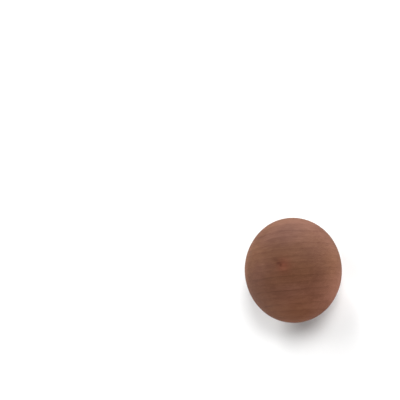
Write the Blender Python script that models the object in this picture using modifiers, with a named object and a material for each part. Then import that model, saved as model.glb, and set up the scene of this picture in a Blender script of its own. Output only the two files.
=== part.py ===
"""A wooden palm stone: one round pebble of hardwood, turned and sanded to fit the hand.

It lies on its lower dome with the origin under its middle, and +Z runs up through both domes.
Everything is in metres.
"""

import math

import bpy

# Driving dimensions
DIAMETER = 0.045
THICKNESS = 0.024
REST_SPOT_DIAMETER = 0.008  # the lower dome is sanded level here, where the stone lies

# Fineness of the surface
TURNS = 72
PROFILE_STEPS = 36
MERGE_DISTANCE = 0.00001

# Finish: bare, fine-sanded reddish brown wood
WOOD_COLOUR = (0.235, 0.106, 0.065, 1.0)
WOOD_ROUGHNESS = 0.6
WOOD_METALLIC = 0.0


def clear_scene():
    """Removes whatever objects the scene already holds."""
    for old in list(bpy.data.objects):
        bpy.data.objects.remove(old)


def wood_material():
    """The stone's bare wood."""
    material = bpy.data.materials.new("palm_stone_wood")
    material.use_nodes = True
    shader = material.node_tree.nodes["Principled BSDF"]
    shader.inputs["Base Color"].default_value = WOOD_COLOUR
    shader.inputs["Roughness"].default_value = WOOD_ROUGHNESS
    shader.inputs["Metallic"].default_value = WOOD_METALLIC
    return material


def stone_profile():
    """The right half of the section, from the top's middle down round the rim to the underside's middle.

    Both domes are halves of one ellipse, and the lower one ends early, level with the rest spot.
    """
    half_width = DIAMETER / 2
    spot_radius = REST_SPOT_DIAMETER / 2
    spot_angle = math.acos(spot_radius / half_width)
    dome_height = THICKNESS / (1 + math.sin(spot_angle))
    rim_height = THICKNESS - dome_height

    points = [(0.0, THICKNESS)]
    for step in range(1, PROFILE_STEPS):
        angle = math.pi / 2 - (math.pi / 2 + spot_angle) * step / PROFILE_STEPS
        points.append((half_width * math.cos(angle), rim_height + dome_height * math.sin(angle)))
    points.append((spot_radius, 0.0))
    points.append((0.0, 0.0))
    return points


def turned_piece(name, profile, material, collection):
    """One solid of revolution about Z, from a profile of (radius, height) points."""
    mesh = bpy.data.meshes.new(name)
    vertices = [(radius, 0.0, height) for radius, height in profile]
    edges = [(index, index + 1) for index in range(len(profile) - 1)]
    mesh.from_pydata(vertices, edges, [])
    mesh.materials.append(material)

    piece = bpy.data.objects.new(name, mesh)
    collection.objects.link(piece)

    lathe = piece.modifiers.new("lathe", "SCREW")
    lathe.axis = "Z"
    lathe.angle = math.tau
    lathe.steps = TURNS
    lathe.render_steps = TURNS
    lathe.use_merge_vertices = True
    lathe.merge_threshold = MERGE_DISTANCE
    lathe.use_smooth_shade = True
    return piece


def build():
    """Makes the stone in a collection of its own."""
    clear_scene()
    collection = bpy.data.collections.new("wooden_palm_stone")
    bpy.context.scene.collection.children.link(collection)
    turned_piece("palm_stone", stone_profile(), wood_material(), collection)


build()
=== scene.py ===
# %% [markdown]
# # A wooden palm stone
#
# This lesson finishes one object: a round, flattened pebble of reddish-brown rowan wood that is
# carried in the pocket and turned over in the hand. It is a single piece of wood, turned on a
# lathe, sanded by hand and left bare. The stone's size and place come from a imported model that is
# loaded first. What is made here is its real surface: the soft shape that sanding leaves, and the
# grain that runs right through it. Lengths are in metres, and the wood is measured in millimetres.

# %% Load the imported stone
import math

import bpy
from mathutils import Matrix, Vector


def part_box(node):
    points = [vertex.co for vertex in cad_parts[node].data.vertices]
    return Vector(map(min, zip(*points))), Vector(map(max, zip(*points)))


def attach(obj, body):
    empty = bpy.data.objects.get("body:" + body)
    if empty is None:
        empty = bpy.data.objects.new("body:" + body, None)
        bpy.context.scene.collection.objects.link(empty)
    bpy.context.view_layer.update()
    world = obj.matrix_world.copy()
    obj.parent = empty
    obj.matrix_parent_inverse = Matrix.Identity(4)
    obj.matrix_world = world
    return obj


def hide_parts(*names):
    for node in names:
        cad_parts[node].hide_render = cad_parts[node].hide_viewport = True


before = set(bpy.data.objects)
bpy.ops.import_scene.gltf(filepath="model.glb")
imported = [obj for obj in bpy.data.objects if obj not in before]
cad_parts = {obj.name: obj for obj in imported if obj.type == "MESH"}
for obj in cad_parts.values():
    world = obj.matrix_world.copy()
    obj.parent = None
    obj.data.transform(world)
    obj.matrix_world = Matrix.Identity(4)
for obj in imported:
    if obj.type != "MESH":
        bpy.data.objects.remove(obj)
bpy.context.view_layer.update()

# %% [markdown]
# ## The sizes that everything follows
#
# A turned stone needs three numbers: its radius, its thickness, and how wide a spot it lies on.
# They could be typed in again, but then the two models could drift apart, so each is measured on
# the loaded stone. Both domes are halves of one ellipse. The lower one is sanded level where it
# touches the table, so the rim sits a hair lower than half the thickness.

# %% Measure the stone
MM = 0.001
LEVEL = 0.01 * MM

stone_low, stone_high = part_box("palm_stone")
radius = (stone_high.x - stone_low.x) / 2
thickness = stone_high.z - stone_low.z

spot_corners = [v.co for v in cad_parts["palm_stone"].data.vertices if v.co.z < stone_low.z + LEVEL]
spot_radius = max(math.hypot(corner.x, corner.y) for corner in spot_corners)

dome_height = thickness / (1 + math.sqrt(1 - (spot_radius / radius) ** 2))
middle = Vector((0, 0, stone_high.z - dome_height))

print(f"radius {radius / MM:.2f} mm, thickness {thickness / MM:.2f} mm")
print(f"upper dome {dome_height / MM:.2f} mm high, rest spot {2 * spot_radius / MM:.2f} mm across")

# %% [markdown]
# ## The camera
#
# The stone is looked at from above, a little to one side, so that the middle of its upper dome
# stands left of the centre and the rim shows on the right. A lens of about 74 mm keeps the outline
# from bulging. The camera is first thought of as aimed straight at the stone, and is then panned
# and tilted, so that the stone sits low on the right with clear floor around it. Panning the whole
# camera, and not shifting the lens, keeps the stone centred when it is looked at from elsewhere.

# %% Place the camera
LENS = 73.8
SENSOR = 36.0
DISTANCE = 0.3553
SIDE_ANGLE = math.radians(27.71)
PAN = math.radians(6.38)
TILT = math.radians(4.88)

sight = Vector((math.sin(SIDE_ANGLE), 0, math.cos(SIDE_ANGLE)))
bpy.ops.object.select_all(action="DESELECT")
bpy.ops.object.camera_add(location=middle + sight * DISTANCE, rotation=(TILT, SIDE_ANGLE + PAN, 0))
camera = bpy.context.object
camera.name = "camera"
camera.data.lens = LENS
camera.data.sensor_width = SENSOR
bpy.context.scene.camera = camera

print("camera at", [round(c, 4) for c in camera.location])

# %% [markdown]
# ## The turned blank
#
# The real stone starts on a lathe. Spinning a half section would follow the turner, but a spun mesh
# pinches into a pole in the middle of each dome, exactly where this stone is looked at. A cube that
# is divided and rounded into a ball has its four-sided faces spread evenly all over, so every part
# of the surface can take the same fine shaping. Seven divisions give faces of about a fifth of a
# millimetre, fine enough for a fingertip's hollows.

# %% Divide a cube
ROUNDING_LEVELS = 7


def finish_modifier(piece, modifier):
    """Applies one modifier of the active piece and gives back its number of faces."""
    bpy.ops.object.modifier_apply(modifier=modifier.name)
    return len(piece.data.polygons)


bpy.ops.object.select_all(action="DESELECT")
bpy.ops.mesh.primitive_cube_add(size=2 * radius, location=middle)
stone = bpy.context.object
stone.name = "sanded_stone"
stone.data.name = "sanded_stone"

divide = stone.modifiers.new("divide", "SUBSURF")
divide.levels = ROUNDING_LEVELS
divide.render_levels = ROUNDING_LEVELS
faces = finish_modifier(stone, divide)

print("divided cube:", faces, "faces")

# %% [markdown]
# The divided cube is pushed out to a true ball, and the ball is pressed down along the lathe's axis
# until it has the loaded stone's radius and dome height.

# %% Round the ball and press it down
bpy.ops.object.mode_set(mode="EDIT")
bpy.ops.mesh.select_all(action="SELECT")
bpy.ops.transform.tosphere(value=1.0)
bpy.ops.object.mode_set(mode="OBJECT")

ball_radius = max(vertex.co.length for vertex in stone.data.vertices)
widen = radius / ball_radius
flatten = dome_height / ball_radius
bpy.ops.object.mode_set(mode="EDIT")
bpy.ops.transform.resize(value=(widen, widen, flatten), center_override=middle)
bpy.ops.object.mode_set(mode="OBJECT")
bpy.ops.object.transform_apply(location=True, rotation=True, scale=True)

print("pressed ball:", [round(side / MM, 2) for side in stone.dimensions], "mm")

# %% [markdown]
# ## The hollows that sanding leaves
#
# A lathe leaves a perfect curve, and the hand that sands it does not. Paper held under a finger
# takes a little more away here and there, in broad shallow hollows that only show when light slides
# over them. A Displace modifier on a soft cloud texture moves the surface by less than a tenth of a
# millimetre each way. The texture is read in the piece's own place, so the hollows never move.

# %% Sand the domes
HOLLOW_WIDTH = 14 * MM
HOLLOW_DEPTH = 0.16 * MM

hollows = bpy.data.textures.new("sanding_hollows", type="CLOUDS")
hollows.noise_scale = HOLLOW_WIDTH
hollows.noise_depth = 0
sanding = stone.modifiers.new("sanding", "DISPLACE")
sanding.texture = hollows
sanding.texture_coords = "LOCAL"
sanding.strength = HOLLOW_DEPTH
sanding.mid_level = 0.5
finish_modifier(stone, sanding)

print("sanded:", [round(side / MM, 2) for side in stone.dimensions], "mm")

# %% [markdown]
# ## The rest spot
#
# The stone lies on a small level spot on its lower dome. On the bench it is rubbed flat on a sheet
# of paper, which takes off all that lies below one height. Here the corners below that height are
# picked and pressed to it. The edge of the spot is then smoothed, as a few light strokes would do.

# %% Rub the rest spot level
RIM_BAND = 0.7 * MM
RIM_STROKES = 6


def pick_corners(piece, wanted):
    """Goes into edit mode with only the wanted corners selected, and says how many they are."""
    bpy.ops.object.mode_set(mode="EDIT")
    bpy.ops.mesh.select_mode(type="VERT")
    bpy.ops.mesh.select_all(action="DESELECT")
    bpy.ops.object.mode_set(mode="OBJECT")
    for vertex in piece.data.vertices:
        vertex.select = wanted(vertex.co)
    picked = sum(vertex.select for vertex in piece.data.vertices)
    bpy.ops.object.mode_set(mode="EDIT")
    return picked


def on_the_spots_edge(corner):
    """True for a corner of the lower dome close to the edge of the rest spot."""
    return corner.z < middle.z and abs(math.hypot(corner.x, corner.y) - spot_radius) < RIM_BAND


flat_corners = pick_corners(stone, lambda corner: corner.z < stone_low.z)
bpy.ops.transform.resize(value=(1, 1, 0), center_override=(0, 0, stone_low.z))
edge_corners = pick_corners(stone, on_the_spots_edge)
bpy.ops.mesh.vertices_smooth(factor=0.5, repeat=RIM_STROKES)
bpy.ops.object.mode_set(mode="OBJECT")

print("rest spot:", flat_corners, "corners level,", edge_corners, "smoothed round its edge")

# %% [markdown]
# ## The dimple over the pin knot
#
# Just beside the middle of the upper dome sits a pin knot, the foot of a twig no thicker than a
# matchstick. Its wood is harder and shorter than the wood round it, and its heart crumbles a little
# under the paper. The corner nearest to it is pushed in with proportional editing, which draws its
# neighbours along, and gives a dimple as soft as a fingertip's.

# %% Sink the dimple
KNOT = (1.05, 1.95)
DIMPLE_REACH = 1.5 * MM
DIMPLE_DEPTH = 0.07 * MM

knot_x, knot_y = KNOT[0] * MM, KNOT[1] * MM
upper = [vertex for vertex in stone.data.vertices if vertex.co.z > middle.z]
nearest = min(upper, key=lambda vertex: math.hypot(vertex.co.x - knot_x, vertex.co.y - knot_y))
knot_number = nearest.index
knot_top = nearest.co.copy()
pick_corners(stone, lambda corner: (corner - knot_top).length < LEVEL)
bpy.ops.transform.translate(value=(0, 0, -DIMPLE_DEPTH), use_proportional_edit=True,
                            proportional_edit_falloff="SMOOTH", proportional_size=DIMPLE_REACH)
bpy.ops.object.mode_set(mode="OBJECT")
sunk = knot_top.z - stone.data.vertices[knot_number].co.z

print(f"knot's heart {sunk / MM:.3f} mm below the dome, at height {knot_top.z / MM:.2f} mm")

# %% [markdown]
# ## Handing the stone over
#
# The finished stone has to be closed, with its faces outwards. It is shaded smooth, because no edge
# is left on it. It then rides on the model's one body and stands for the imported stone, which is
# hidden.

# %% Hand the stone over
bpy.ops.object.mode_set(mode="EDIT")
bpy.ops.mesh.select_all(action="SELECT")
bpy.ops.mesh.normals_make_consistent(inside=False)
bpy.ops.object.mode_set(mode="OBJECT")
bpy.ops.object.shade_smooth()

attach(stone, "root")
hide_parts("palm_stone")

print("finished stone:", [round(side / MM, 2) for side in stone.dimensions], "mm")
print("triangles:", 2 * len(stone.data.polygons))

# %% [markdown]
# ## A kit for the wood
#
# Wood is not a picture wrapped round a shape. The grain fills the whole block, and sanding only
# uncovers it, so the pattern here is worked out from each point's place in the wood. Ends and sides
# then differ by themselves, as they do on the bench. It takes a good number of small nodes, so a
# few helpers come first. Each one adds a node and gives back what comes out of it.

# %% Start the wood and feed its sockets
wood = bpy.data.materials.new("sanded_wood")
wood.use_nodes = True
nodes = wood.node_tree.nodes
nodes.clear()


def feed(value, socket):
    """Gives a socket a plain value, or links another node's result to it."""
    if isinstance(value, bpy.types.NodeSocket):
        wood.node_tree.links.new(value, socket)
    else:
        socket.default_value = value


def work_out(operation, *values, clamp=False):
    """The result of one sum on numbers."""
    node = nodes.new("ShaderNodeMath")
    node.operation = operation
    node.use_clamp = clamp
    for value, socket in zip(values, node.inputs):
        feed(value, socket)
    return node.outputs["Value"]


def work_out_place(operation, *values):
    """The result of one sum on places, or on colours."""
    node = nodes.new("ShaderNodeVectorMath")
    node.operation = operation
    for value, socket in zip(values, node.inputs):
        feed(value, socket)
    gives_number = operation in ("LENGTH", "DOT_PRODUCT")
    return node.outputs["Value" if gives_number else "Vector"]


print("wood started, kit of sums ready")

# %% [markdown]
# No two stones have the same grain, so every pattern starts from a throw of the dice. Noise in four
# dimensions has a spare one for that: the same noise, read at another throw, gives another piece of
# wood of the same kind. A throw of 0 was taken as it came. Each other throw below was kept out of
# many, as a turner goes through a pile of blanks: a few dozen were tried for the fine patterns, and
# up to a few hundred for the broad ones, and scored by how nearly their wood lay as this stone's does.

# %% Helpers for uneven patterns
def uneven(where, per_mm, throw, detail=0.0, roughness=0.5):
    """Soft noise of about -1 to 1: so many grains a mm in each direction, from one throw of the dice."""
    node = nodes.new("ShaderNodeTexNoise")
    node.noise_dimensions = "4D"
    node.inputs["W"].default_value = throw
    node.inputs["Scale"].default_value = 1.0
    node.inputs["Detail"].default_value = detail
    node.inputs["Roughness"].default_value = roughness
    feed(work_out_place("MULTIPLY", where, per_mm), node.inputs["Vector"])
    return work_out("MULTIPLY_ADD", node.outputs["Fac"], 2.0, -1.0)


def rise(value, low, high):
    """A smooth step from 0 at low to 1 at high."""
    node = nodes.new("ShaderNodeMapRange")
    node.interpolation_type = "SMOOTHSTEP"
    feed(value, node.inputs["Value"])
    feed(low, node.inputs["From Min"])
    feed(high, node.inputs["From Max"])
    return node.outputs["Result"]


def add_up(start, *parts):
    """The start with each part's value times its weight added."""
    total = start
    for value, weight in parts:
        total = work_out("MULTIPLY_ADD", value, weight, total)
    return total


print("helpers ready: uneven, rise, add_up")

# %% [markdown]
# ## A point's place in the wood
#
# Every pattern starts from where a point lies. Object coordinates stay with the piece, whatever the
# camera does. A Mapping node counts them from the middle of the stone in millimetres, which is the
# scale that grain is talked about in. The grain of this stone runs along x, and its rings stand on
# edge across y.

# %% Count places in millimetres
coordinates = nodes.new("ShaderNodeTexCoord")
counting = nodes.new("ShaderNodeMapping")
counting.inputs["Location"].default_value = -middle / MM
counting.inputs["Scale"].default_value = (1 / MM, 1 / MM, 1 / MM)
feed(coordinates.outputs["Object"], counting.inputs["Vector"])
place = counting.outputs["Vector"]

axes = nodes.new("ShaderNodeSeparateXYZ")
feed(place, axes.inputs["Vector"])
along = axes.outputs["X"]
across = axes.outputs["Y"]

print("places counted from", [round(c / MM, 2) for c in middle], "mm")

# %% [markdown]
# ## The pin knot's reach
#
# A twig pushes the wood round it aside, stains it red, and leaves a dark tail where its bark was
# caught. All of that fades with distance, so one helper gives a soft spot: 1 at its centre and close
# to 0 at twice its reach, which may differ in each direction. Spots sit just under the upper dome
# and do not reach the lower one.

# %% Soft spots round the knot
KNOT_PLACE = (KNOT[0], KNOT[1], (knot_top.z - middle.z) / MM)
SPOT_DEPTH = 4.0


def soft_spot(beside, reach):
    """A spot beside the knot, so many mm away along and across, with its reach along and across."""
    centre = (KNOT_PLACE[0] + beside[0], KNOT_PLACE[1] + beside[1], KNOT_PLACE[2])
    from_centre = work_out_place("SUBTRACT", place, centre)
    scaled = work_out_place("DIVIDE", from_centre, (reach[0], reach[1], SPOT_DEPTH))
    squared = work_out_place("DOT_PRODUCT", scaled, scaled)
    return work_out("EXPONENT", work_out("MULTIPLY", squared, -1.0))


knot_swell = soft_spot((0.0, 0.0), (3.6, 2.0))
knot_heart = soft_spot((0.0, 0.0), (0.52, 0.56))
knot_tail = soft_spot((-1.1, 0.9), (1.0, 0.6))
knot_far_tail = soft_spot((-2.7, 2.2), (1.5, 0.9))
knot_stain = soft_spot((1.2, 0.0), (2.9, 2.8))
knot_pale = soft_spot((1.5, -1.3), (1.3, 0.7))
beyond_knot = work_out("SUBTRACT", across, KNOT_PLACE[1])

print("knot at", [round(c, 2) for c in KNOT_PLACE], "mm from the middle")

# %% [markdown]
# ## How deep in the tree
#
# Rings are sleeves round the tree's heart, one for each year. The stone was cut well away from the
# heart, so on its upper dome the rings show as long lines, bowed a little. What matters at a point
# is its distance from the heart's line. Real trees are not round pipes, so that distance is bent: by
# a bow that grows towards one side, by a lean, by slow drifting, by small ripples that are stronger
# on the left side, and by the swelling at the knot.

# %% Measure the depth
HEART = (0.0, -68.0, 10.0)
BOW = 0.0000128
UNBOWED = -10.0
LEAN = 0.105
DRIFT_BEND = 0.9
RIPPLE_BEND = 0.80
KNOT_BEND = 0.55
RIPPLED_SIDE = (4.0, -14.0)
CALM_SIDE_RIPPLE = 0.45

from_heart = work_out_place("MULTIPLY", work_out_place("SUBTRACT", place, HEART), (0.0, 1.0, 1.0))
heart_distance = work_out_place("LENGTH", from_heart)
middle_distance = math.hypot(HEART[1], HEART[2])

bow = work_out("POWER", work_out("MULTIPLY", along, add_up(-UNBOWED, (across, 1.0))), 2.0)
drift = uneven(place, (0.012, 0.05, 0.05), throw=24.9, detail=1.0)
rippled_side = rise(along, *RIPPLED_SIDE)
ripple = uneven(place, (0.17, 0.30, 0.30), throw=24.7, detail=1.0)
ripple = work_out("MULTIPLY", ripple, add_up(CALM_SIDE_RIPPLE, (rippled_side, 1 - CALM_SIDE_RIPPLE)))
swelling = work_out("MULTIPLY", beyond_knot, knot_swell)
straight_depth = work_out("SUBTRACT", heart_distance, middle_distance)
depth = add_up(straight_depth,
               (bow, BOW),
               (along, -LEAN),
               (drift, DRIFT_BEND),
               (ripple, RIPPLE_BEND),
               (swelling, -KNOT_BEND))

print(f"heart {middle_distance:.1f} mm from the middle of the stone")

# %% [markdown]
# The grain follows the same bends. A third direction runs round the heart, across both the fibres
# and the rings, and with it a point has an address in the tree: along, depth and around. Streaks,
# vessels and rays are all laid out on this address.

# %% Give each point an address in the tree
heart_axes = nodes.new("ShaderNodeSeparateXYZ")
feed(from_heart, heart_axes.inputs["Vector"])
turn = work_out("ARCTAN2", heart_axes.outputs["Z"], heart_axes.outputs["Y"])
around = work_out("MULTIPLY", turn, middle_distance)

addresses = nodes.new("ShaderNodeCombineXYZ")
feed(along, addresses.inputs["X"])
feed(depth, addresses.inputs["Y"])
feed(around, addresses.inputs["Z"])
address = addresses.outputs["Vector"]

print("address: along, depth, around")

# %% [markdown]
# ## The years
#
# Each year's wood starts pale in spring, darkens slowly, and closes with a thin line of hard, dark
# summer wood. Good years make wide rings and bad ones narrow rings, and the closing line is strong
# in some years and almost missing in others. Rowan shows this only softly, and the line comes and
# goes along its length, so its strength is both drawn for each year and made patchy. The first line
# says how deep in the tree the counting starts, and the calendar says which years these were: a
# year's strength is drawn by its number, so another calendar gives other strong and weak years. This
# one was kept out of some thousands, because its strong years fall where this stone's seem to be.

# %% Draw the years
RING_WIDTH = 2.8
FIRST_LINE = -3.3
CALENDAR = 2876.0
LINE_RISE = (0.70, 0.93)
LINE_FALL = (0.955, 1.0)
UNEVEN_YEARS = 0.22
FAINTEST_LINE = 0.25
LINE_CONTRAST = 1.6
LINE_PRESENCE = 0.42

years = work_out("DIVIDE", work_out("SUBTRACT", depth, FIRST_LINE), RING_WIDTH)
good_and_bad = uneven(address, (0.004, 0.21, 0.01), throw=19.2, detail=1.0)
years = add_up(years, (good_and_bad, UNEVEN_YEARS))
year = work_out("FLOOR", years)
season = work_out("FRACT", years)

draw = nodes.new("ShaderNodeTexWhiteNoise")
draw.noise_dimensions = "1D"
feed(work_out("ADD", year, CALENDAR), draw.inputs["W"])
year_strength = add_up(FAINTEST_LINE, (draw.outputs["Value"], 1 - FAINTEST_LINE))

line = work_out("MULTIPLY", rise(season, *LINE_RISE), work_out("SUBTRACT", 1.0, rise(season, *LINE_FALL)))
patches = uneven(address, (0.11, 0.30, 0.12), throw=21.0, detail=2.0)
patches = work_out("MULTIPLY_ADD", patches, LINE_CONTRAST, LINE_PRESENCE, clamp=True)
summer_line = work_out("MULTIPLY", work_out("MULTIPLY", line, year_strength), patches)

print(f"about {2 * radius / MM / RING_WIDTH:.0f} years across the stone")

# %% [markdown]
# ## Streaks, fibres, vessels and rays
#
# Between the lines the wood is streaked, because no two layers of fibres are quite the same. The
# fibres themselves are finer than a hair. Rowan's vessels are tiny tubes, which sanding opens into
# short dark scratches along the grain. Rays are thin ribbons that run out from the heart across the
# fibres, and show as small paler flecks. All are noise on the address, stretched as each one is.
# Mottle, blotches and clouds are three sizes of soft unevenness that lie over the grain. Towards
# both ends of the grain the wood is painted paler, as painted light on the stone's left and right rims.

# %% Lay out the streaks and fibres
OPEN_VESSELS = (0.22, 0.50)
CLEAR_RAYS = (0.22, 0.55)
PAINTED_LIGHT_ENDS = (15.0, 23.0)

streaks = uneven(address, (0.06, 0.80, 0.50), throw=27.5, detail=2.0, roughness=0.6)
fine_streaks = uneven(address, (0.20, 2.0, 1.4), throw=38.0, detail=3.0, roughness=0.65)
fibres = uneven(address, (0.30, 7.0, 7.0), throw=0.0, detail=1.0)
vessels = rise(uneven(address, (0.55, 9.0, 9.0), throw=0.0, detail=1.0), *OPEN_VESSELS)
rays = rise(uneven(address, (2.4, 0.50, 7.0), throw=0.0, detail=1.0), *CLEAR_RAYS)
mottle = uneven(place, (0.20, 0.30, 0.30), throw=11.8, detail=2.0)
blotches = uneven(place, (0.08, 0.12, 0.12), throw=153.6)
clouds = uneven(place, (0.05, 0.07, 0.07), throw=53.6, detail=1.0)
# painted light: the wood is made paler towards both ends of the grain, on the left and right rims
painted_light_ends = rise(work_out("ABSOLUTE", along), *PAINTED_LIGHT_ENDS)

print("streaks, fibres, vessels, rays, mottle, blotches and clouds laid out")

# %% [markdown]
# ## One tone for everything
#
# Each feature makes the wood a little lighter or darker. They are added up into one tone, each with
# the weight beside it. A colour ramp then turns the tone into wood colour, with the plain wood at its
# middle. The ramp is not a grey one: dark parts of this wood are redder, and pale parts are closer to
# tan.

# %% Add up the tone
BARE_TONE = 0.563

features = (
    (season, -0.06),
    (summer_line, -0.145),
    (streaks, 0.12),
    (fine_streaks, 0.21),
    (fibres, 0.08),
    (vessels, -0.12),
    (rays, 0.11),
    (mottle, 0.14),
    (blotches, -0.11),
    (clouds, 0.18),
    (painted_light_ends, 0.27),
    (knot_stain, -0.06),
    (knot_tail, -0.16),
    (knot_far_tail, -0.12),
    (knot_pale, 0.18),
    (knot_heart, -0.27),
)
tone = add_up(BARE_TONE, *features)

print("tone adds up", len(features), "features")

# %% Colour the tone
DARK_WOOD = (0.0365, 0.0089, 0.0030, 1.0)
PLAIN_WOOD = (0.1023, 0.0442, 0.0264, 1.0)
PALE_WOOD = (0.178, 0.0864, 0.0575, 1.0)
RAMP_MIDDLE = 0.5

wood_ramp = nodes.new("ShaderNodeValToRGB")
feed(tone, wood_ramp.inputs["Fac"])
stops = wood_ramp.color_ramp.elements
stops[0].color = DARK_WOOD
stops[1].color = PALE_WOOD
stops.new(RAMP_MIDDLE).color = PLAIN_WOOD
toned = wood_ramp.outputs["Color"]

print("ramp stops:", [round(stop.position, 2) for stop in stops])

# %% [markdown]
# Over the whole block the hue wanders too: some parts are warmer, some pinker, as sap and minerals
# dried unevenly. Old wood, deep in the tree, is redder than the young wood outside it, and this tint
# also paints light: the young side, towards +y, is paler and greyer as a painted sheen, and the old
# side, towards -y, is redder as painted shade. The wood round the knot is stained red. Multiplying
# by a tint that stays close to white shifts the hue and leaves the grain alone.

# %% Let the hue wander
WARM = (1.03, 1.00, 0.90, 1.0)
PINK = (1.00, 0.98, 1.08, 1.0)
STAIN = (1.14, 0.87, 0.90, 1.0)
YOUNG_AND_SHEEN = (1.02, 1.05, 1.06, 1.0)
OLD_AND_SHADE = (1.14, 1.00, 0.88, 1.0)
YOUNG_SHEEN_TO_OLD_SHADE = (14.0, -20.0)
SMALL_HUE_SHARE = 0.8
HUE_SWING = 0.6


def blend_wood(share, first, second, how="MIX"):
    """Two colours mixed, or multiplied, by a share."""
    node = nodes.new("ShaderNodeMix")
    node.data_type = "RGBA"
    node.blend_type = how
    sockets = {socket.identifier: socket for socket in node.inputs}
    feed(share, sockets["Factor_Float"])
    feed(first, sockets["A_Color"])
    feed(second, sockets["B_Color"])
    return next(socket for socket in node.outputs if socket.identifier == "Result_Color")


broad_hue = uneven(place, (0.05, 0.07, 0.07), throw=89.6, detail=1.0)
small_hue = uneven(place, (0.06, 0.10, 0.10), throw=71.7)
wander = rise(add_up(broad_hue, (small_hue, SMALL_HUE_SHARE)), -HUE_SWING, HUE_SWING)
# age, and painted light: a paler, greyer painted sheen towards +y and a redder painted shade towards -y
age_and_painted_sheen = rise(depth, *YOUNG_SHEEN_TO_OLD_SHADE)
tint = blend_wood(1.0, blend_wood(wander, PINK, WARM), blend_wood(age_and_painted_sheen, YOUNG_AND_SHEEN, OLD_AND_SHADE), "MULTIPLY")
tinted = blend_wood(1.0, toned, tint, "MULTIPLY")
wood_colour = blend_wood(knot_stain, tinted, blend_wood(1.0, tinted, STAIN, "MULTIPLY"))

print("hue wanders between", WARM[:3], "and", PINK[:3], "and goes from", YOUNG_AND_SHEEN[:3], "to", OLD_AND_SHADE[:3])

# %% [markdown]
# ## Touch and gloss
#
# Bare sanded wood is matt. It mirrors nothing, but at a low angle it takes on a soft pale sheen, so
# its gloss is weak and spread wide. Open vessels scatter the light more than the hard summer lines
# do, so roughness follows the grain. The same features are raised and sunk by hundredths of a
# millimetre in a Bump node: deep enough to catch the light, and too fine to model.

# %% Finish the shader
PLAIN_ROUGHNESS = 0.75
GLOSS_LEVEL = 0.12
RELIEF = 0.025 * MM

roughness = add_up(PLAIN_ROUGHNESS,
                   (vessels, 0.12),
                   (streaks, 0.06),
                   (summer_line, -0.06))
relief = add_up(0.0,
                (vessels, -1.0),
                (fibres, 0.45),
                (fine_streaks, 0.30),
                (summer_line, 0.5),
                (knot_heart, -1.0))
bump = nodes.new("ShaderNodeBump")
bump.inputs["Distance"].default_value = RELIEF
feed(relief, bump.inputs["Height"])

shader = nodes.new("ShaderNodeBsdfPrincipled")
shader.inputs["Specular IOR Level"].default_value = GLOSS_LEVEL
feed(wood_colour, shader.inputs["Base Color"])
feed(roughness, shader.inputs["Roughness"])
feed(bump.outputs["Normal"], shader.inputs["Normal"])
surface = nodes.new("ShaderNodeOutputMaterial")
feed(shader.outputs["BSDF"], surface.inputs["Surface"])
stone.data.materials.append(wood)

print("wood finished with", len(nodes), "nodes")

# %% [markdown]
# ## The floor
#
# The stone lies on plain white card that runs far past the view. A sheet that ended in sight would
# need a curved backdrop behind it, and one that is big enough needs nothing. The card is dull, so
# that no lamp shows in it, and white enough to throw some light back up under the stone.

# %% Lay the floor
FLOOR_SIDE = 20.0
FLOOR_GAP = 0.02 * MM
CARD_WHITE = (0.87, 0.87, 0.87, 1.0)

bpy.ops.object.select_all(action="DESELECT")
bpy.ops.mesh.primitive_plane_add(size=FLOOR_SIDE, location=(0, 0, stone_low.z - FLOOR_GAP))
floor = bpy.context.object
floor.name = "floor"
card = bpy.data.materials.new("white_card")
card.use_nodes = True
card_shader = card.node_tree.nodes["Principled BSDF"]
card_shader.inputs["Base Color"].default_value = CARD_WHITE
card_shader.inputs["Roughness"].default_value = 1.0
card_shader.inputs["Specular IOR Level"].default_value = 0.0
floor.data.materials.append(card)

print("floor", FLOOR_SIDE, "m wide")

# %% [markdown]
# ## Soft light
#
# Two big softboxes hang high behind the stone, the right one stronger, and shade its dome from the
# far side to the near one. Three narrower ones stand so low that their light only grazes the card:
# they brighten the stone's rim and leave the middle quiet. The two in front also reach in under the
# stone's near side and keep its shadow soft. Lamps could stand on the floor for this, but a sun lamp
# has no distance, so it lights the card evenly to the horizon. Given a wide angle, it is as soft as a
# softbox.

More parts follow.
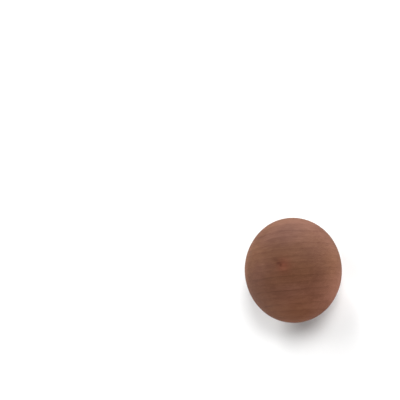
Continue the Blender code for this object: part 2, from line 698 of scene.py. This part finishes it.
# %% Hang the lights
def soft_light(name, azimuth, elevation, width, strength):
    """A far softbox: its direction as a compass angle from +X and a height, both in degrees."""
    turned, raised = math.radians(azimuth), math.radians(elevation)
    reach = math.cos(raised)
    towards = Vector((reach * math.cos(turned), reach * math.sin(turned), math.sin(raised)))
    bpy.ops.object.light_add(type="SUN", rotation=towards.to_track_quat("Z", "Y").to_euler())
    light = bpy.context.object
    light.name = name
    light.data.angle = math.radians(width)
    light.data.energy = strength
    return light


lights = [soft_light("high_right_light", 45, 40, 36, 3.40),
          soft_light("high_left_light", 135, 40, 36, 1.25),
          soft_light("low_back_light", 105, 8, 16, 5.60),
          soft_light("low_right_light", 324, 8, 16, 2.40),
          soft_light("low_left_light", 210, 8, 16, 2.80)]

print("lights:", [(light.name, light.data.energy) for light in lights])

# %% [markdown]
# The room round the stone is white at the horizon, where it meets the card, and darker overhead, so
# the card has no visible end and the domes keep their shading.

# %% Paint the room
HORIZON = 1.0
OVERHEAD = 0.0
FADE_HEIGHT = 0.35

room = bpy.data.worlds.new("white_room")
room.use_nodes = True
room_nodes = room.node_tree.nodes
room_nodes.clear()
heading = room_nodes.new("ShaderNodeTexCoord")
heading_axes = room_nodes.new("ShaderNodeSeparateXYZ")
fade = room_nodes.new("ShaderNodeMapRange")
fade.inputs["From Max"].default_value = FADE_HEIGHT
fade.inputs["To Min"].default_value = HORIZON
fade.inputs["To Max"].default_value = OVERHEAD
background = room_nodes.new("ShaderNodeBackground")
background.inputs["Color"].default_value = (1.0, 1.0, 1.0, 1.0)
room_surface = room_nodes.new("ShaderNodeOutputWorld")
room.node_tree.links.new(heading.outputs["Generated"], heading_axes.inputs["Vector"])
room.node_tree.links.new(heading_axes.outputs["Z"], fade.inputs["Value"])
room.node_tree.links.new(fade.outputs["Result"], background.inputs["Strength"])
room.node_tree.links.new(background.outputs["Background"], room_surface.inputs["Surface"])
bpy.context.scene.world = room

print("room fades from", HORIZON, "to", OVERHEAD)

# %% [markdown]
# ## Last things
#
# The plain view transform shows the colours as they were mixed.

# %% Set the view transform
bpy.context.scene.view_settings.view_transform = "Standard"
